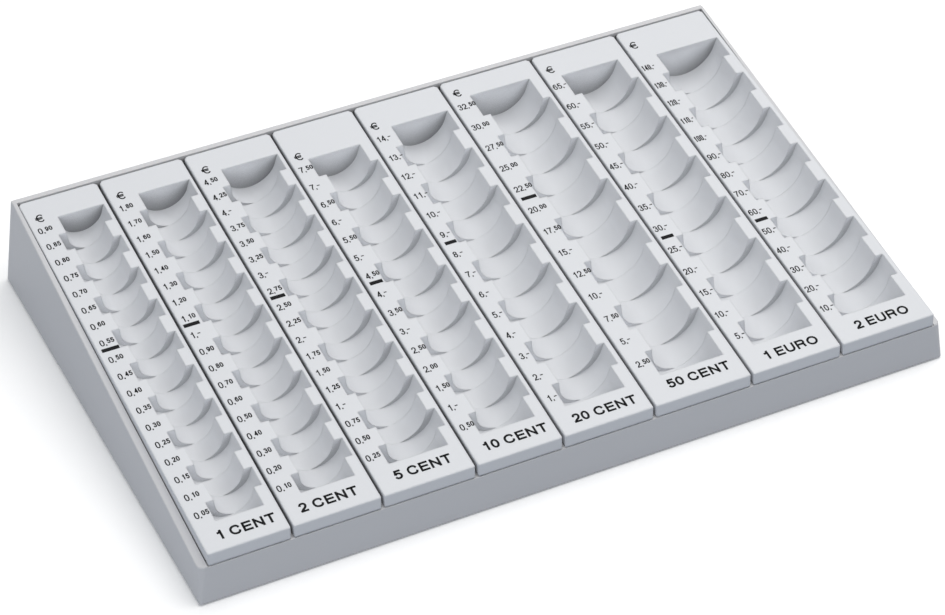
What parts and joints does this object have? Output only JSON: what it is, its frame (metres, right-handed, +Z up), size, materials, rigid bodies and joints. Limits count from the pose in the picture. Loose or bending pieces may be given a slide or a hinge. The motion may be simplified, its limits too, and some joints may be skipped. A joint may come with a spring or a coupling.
{
  "type": "coin counting tray",
  "caption": "Sloping wedge tray holding lift-out coin strips, each with a zigzag row of round-bottomed troughs for coins on edge.",
  "frame": {"origin": "on the ground under the middle of the base's footprint", "axes": "+X along the width, from the 1 cent strip to the 2 euro strip; +Y from the low front to the high back; +Z up"},
  "size_m": [0.3104, 0.1958, 0.0431],
  "materials": {
    "base_plastic": "fine satin, light grey",
    "strip_plastic": "fine satin, pale grey with black printing",
    "pad_rubber": "matt black"
  },
  "bodies": {
    "tray": {"tray_base": "base_plastic", "foot_pad_front_left": "pad_rubber", "foot_pad_front_right": "pad_rubber", "foot_pad_back_left": "pad_rubber", "foot_pad_back_right": "pad_rubber"},
    "strip_1_cent": {"strip_1_cent": "strip_plastic"},
    "strip_2_cent": {"strip_2_cent": "strip_plastic"},
    "strip_5_cent": {"strip_5_cent": "strip_plastic"},
    "strip_10_cent": {"strip_10_cent": "strip_plastic"},
    "strip_20_cent": {"strip_20_cent": "strip_plastic"},
    "strip_50_cent": {"strip_50_cent": "strip_plastic"},
    "strip_1_euro": {"strip_1_euro": "strip_plastic"},
    "strip_2_euro": {"strip_2_euro": "strip_plastic"}
  },
  "joints": [
    {"name": "strip_1_cent_lift", "type": "slide", "parent": "tray", "child": "strip_1_cent", "axis": [0, -0.1106, 0.9939], "range_m": [0, 0.03]},
    {"name": "strip_2_cent_lift", "type": "slide", "parent": "tray", "child": "strip_2_cent", "axis": [0, -0.1106, 0.9939], "range_m": [0, 0.03]},
    {"name": "strip_5_cent_lift", "type": "slide", "parent": "tray", "child": "strip_5_cent", "axis": [0, -0.1106, 0.9939], "range_m": [0, 0.03]},
    {"name": "strip_10_cent_lift", "type": "slide", "parent": "tray", "child": "strip_10_cent", "axis": [0, -0.1106, 0.9939], "range_m": [0, 0.03]},
    {"name": "strip_20_cent_lift", "type": "slide", "parent": "tray", "child": "strip_20_cent", "axis": [0, -0.1106, 0.9939], "range_m": [0, 0.03]},
    {"name": "strip_50_cent_lift", "type": "slide", "parent": "tray", "child": "strip_50_cent", "axis": [0, -0.1106, 0.9939], "range_m": [0, 0.03]},
    {"name": "strip_1_euro_lift", "type": "slide", "parent": "tray", "child": "strip_1_euro", "axis": [0, -0.1106, 0.9939], "range_m": [0, 0.03]},
    {"name": "strip_2_euro_lift", "type": "slide", "parent": "tray", "child": "strip_2_euro", "axis": [0, -0.1106, 0.9939], "range_m": [0, 0.03]}
  ]
}
